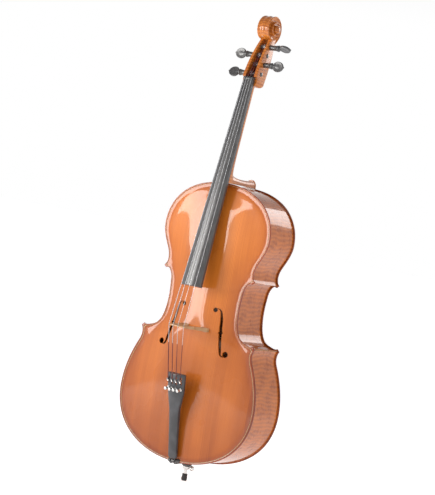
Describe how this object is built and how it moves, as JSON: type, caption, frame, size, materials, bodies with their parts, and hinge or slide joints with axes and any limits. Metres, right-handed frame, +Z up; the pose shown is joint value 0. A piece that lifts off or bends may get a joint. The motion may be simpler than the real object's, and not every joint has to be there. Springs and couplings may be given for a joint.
{
  "type": "cello",
  "caption": "Full-size cello with arched plates, ribs, scroll, ebony fittings, fine tuners and a telescoping end pin.",
  "frame": {"origin": "centre of the flat end of the rubber foot, with the end pin pushed in", "axes": "+Z up the instrument from foot to scroll, -Y out of the spruce top, +X to the treble side (right, seen from the front)"},
  "size_m": [0.438, 0.26, 1.2708],
  "materials": {
    "spruce": "gloss varnish",
    "maple": "gloss varnish",
    "willow": "bare",
    "spruce_bare": "bare",
    "bridge_maple": "satin",
    "ebony": "polished",
    "black_plastic": "satin",
    "steel": "bright",
    "steel_wound": "wound",
    "nylon": "matte",
    "rubber": "matte"
  },
  "bodies": {
    "cello": {"top_plate": "spruce", "back_plate": "maple", "rib_lower_bass": "maple", "rib_lower_treble": "maple", "rib_waist_bass": "maple", "rib_waist_treble": "maple", "rib_upper_bass": "maple", "rib_upper_treble": "maple", "lining_top_lower_bass": "willow", "lining_top_lower_treble": "willow", "lining_top_waist_bass": "willow", "lining_top_waist_treble": "willow", "lining_top_upper_bass": "willow", "lining_top_upper_treble": "willow", "lining_back_lower_bass": "willow", "lining_back_lower_treble": "willow", "lining_back_waist_bass": "willow", "lining_back_waist_treble": "willow", "lining_back_upper_bass": "willow", "lining_back_upper_treble": "willow", "corner_block_lower_bass": "willow", "corner_block_lower_treble": "willow", "corner_block_upper_bass": "willow", "corner_block_upper_treble": "willow", "neck_block": "willow", "end_block": "willow", "bass_bar": "spruce_bare", "sound_post": "spruce_bare", "neck_and_scroll": "maple", "fingerboard": "ebony", "nut": "ebony", "saddle": "ebony", "end_pin_collar": "ebony", "bridge": "bridge_maple", "tailpiece": "black_plastic", "tuner_axle": "steel", "tail_cord": "nylon", "string_c": "steel_wound", "string_g": "steel_wound", "string_d": "steel_wound", "string_a": "steel_wound"},
    "c_peg": {"peg_c": "ebony", "string_coil_c": "steel_wound"},
    "c_tuner_screw": {"tuner_screw_c": "steel"},
    "c_tuner_lever": {"tuner_lever_c": "steel"},
    "g_peg": {"peg_g": "ebony", "string_coil_g": "steel_wound"},
    "g_tuner_screw": {"tuner_screw_g": "steel"},
    "g_tuner_lever": {"tuner_lever_g": "steel"},
    "d_peg": {"peg_d": "ebony", "string_coil_d": "steel_wound"},
    "d_tuner_screw": {"tuner_screw_d": "steel"},
    "d_tuner_lever": {"tuner_lever_d": "steel"},
    "a_peg": {"peg_a": "ebony", "string_coil_a": "steel_wound"},
    "a_tuner_screw": {"tuner_screw_a": "steel"},
    "a_tuner_lever": {"tuner_lever_a": "steel"},
    "end_pin": {"end_pin_rod": "steel", "end_pin_rubber_foot": "rubber"},
    "thumbscrew": {"end_pin_thumbscrew": "steel"}
  },
  "joints": [
    {"name": "c_peg_turn", "type": "hinge", "parent": "cello", "child": "c_peg", "pos_m": [0, -0.02243, 1.11077], "axis": [1, 0, 0], "continuous": true},
    {"name": "c_tuner_screw_turn", "type": "hinge", "parent": "cello", "child": "c_tuner_screw", "pos_m": [-0.0195, -0.12767, 0.2488], "axis": [0, 0.968, 0.2509], "range_deg": [0, 1800]},
    {"name": "c_tuner_lever_tilt", "type": "hinge", "parent": "cello", "child": "c_tuner_lever", "pos_m": [-0.0195, -0.12304, 0.27479], "axis": [1, 0, 0], "range_deg": [0, 6.5]},
    {"name": "g_peg_turn", "type": "hinge", "parent": "cello", "child": "g_peg", "pos_m": [0, -0.00543, 1.16367], "axis": [1, 0, 0], "continuous": true},
    {"name": "g_tuner_screw_turn", "type": "hinge", "parent": "cello", "child": "g_tuner_screw", "pos_m": [-0.0065, -0.12767, 0.2488], "axis": [0, 0.968, 0.2509], "range_deg": [0, 1800]},
    {"name": "g_tuner_lever_tilt", "type": "hinge", "parent": "cello", "child": "g_tuner_lever", "pos_m": [-0.0065, -0.12304, 0.27479], "axis": [1, 0, 0], "range_deg": [0, 6.5]},
    {"name": "d_peg_turn", "type": "hinge", "parent": "cello", "child": "d_peg", "pos_m": [0, 0.00387, 1.18846], "axis": [1, 0, 0], "continuous": true},
    {"name": "d_tuner_screw_turn", "type": "hinge", "parent": "cello", "child": "d_tuner_screw", "pos_m": [0.0065, -0.12767, 0.2488], "axis": [0, 0.968, 0.2509], "range_deg": [0, 1800]},
    {"name": "d_tuner_lever_tilt", "type": "hinge", "parent": "cello", "child": "d_tuner_lever", "pos_m": [0.0065, -0.12304, 0.27479], "axis": [1, 0, 0], "range_deg": [0, 6.5]},
    {"name": "a_peg_turn", "type": "hinge", "parent": "cello", "child": "a_peg", "pos_m": [0, -0.01427, 1.13779], "axis": [1, 0, 0], "continuous": true},
    {"name": "a_tuner_screw_turn", "type": "hinge", "parent": "cello", "child": "a_tuner_screw", "pos_m": [0.0195, -0.12767, 0.2488], "axis": [0, 0.968, 0.2509], "range_deg": [0, 1800]},
    {"name": "a_tuner_lever_tilt", "type": "hinge", "parent": "cello", "child": "a_tuner_lever", "pos_m": [0.0195, -0.12304, 0.27479], "axis": [1, 0, 0], "range_deg": [0, 6.5]},
    {"name": "end_pin_slide", "type": "slide", "parent": "cello", "child": "end_pin", "axis": [0, 0, -1], "range_m": [0, 0.36]},
    {"name": "thumbscrew_turn", "type": "hinge", "parent": "cello", "child": "thumbscrew", "pos_m": [0.0105, 0, 0.0368], "axis": [1, 0, 0], "range_deg": [0, 720]}
  ],
  "couplings": [
    {"joint": "c_tuner_lever_tilt", "follows": "c_tuner_screw_turn", "ratio": 0.003316},
    {"joint": "g_tuner_lever_tilt", "follows": "g_tuner_screw_turn", "ratio": 0.003316},
    {"joint": "d_tuner_lever_tilt", "follows": "d_tuner_screw_turn", "ratio": 0.003316},
    {"joint": "a_tuner_lever_tilt", "follows": "a_tuner_screw_turn", "ratio": 0.003316}
  ]
}
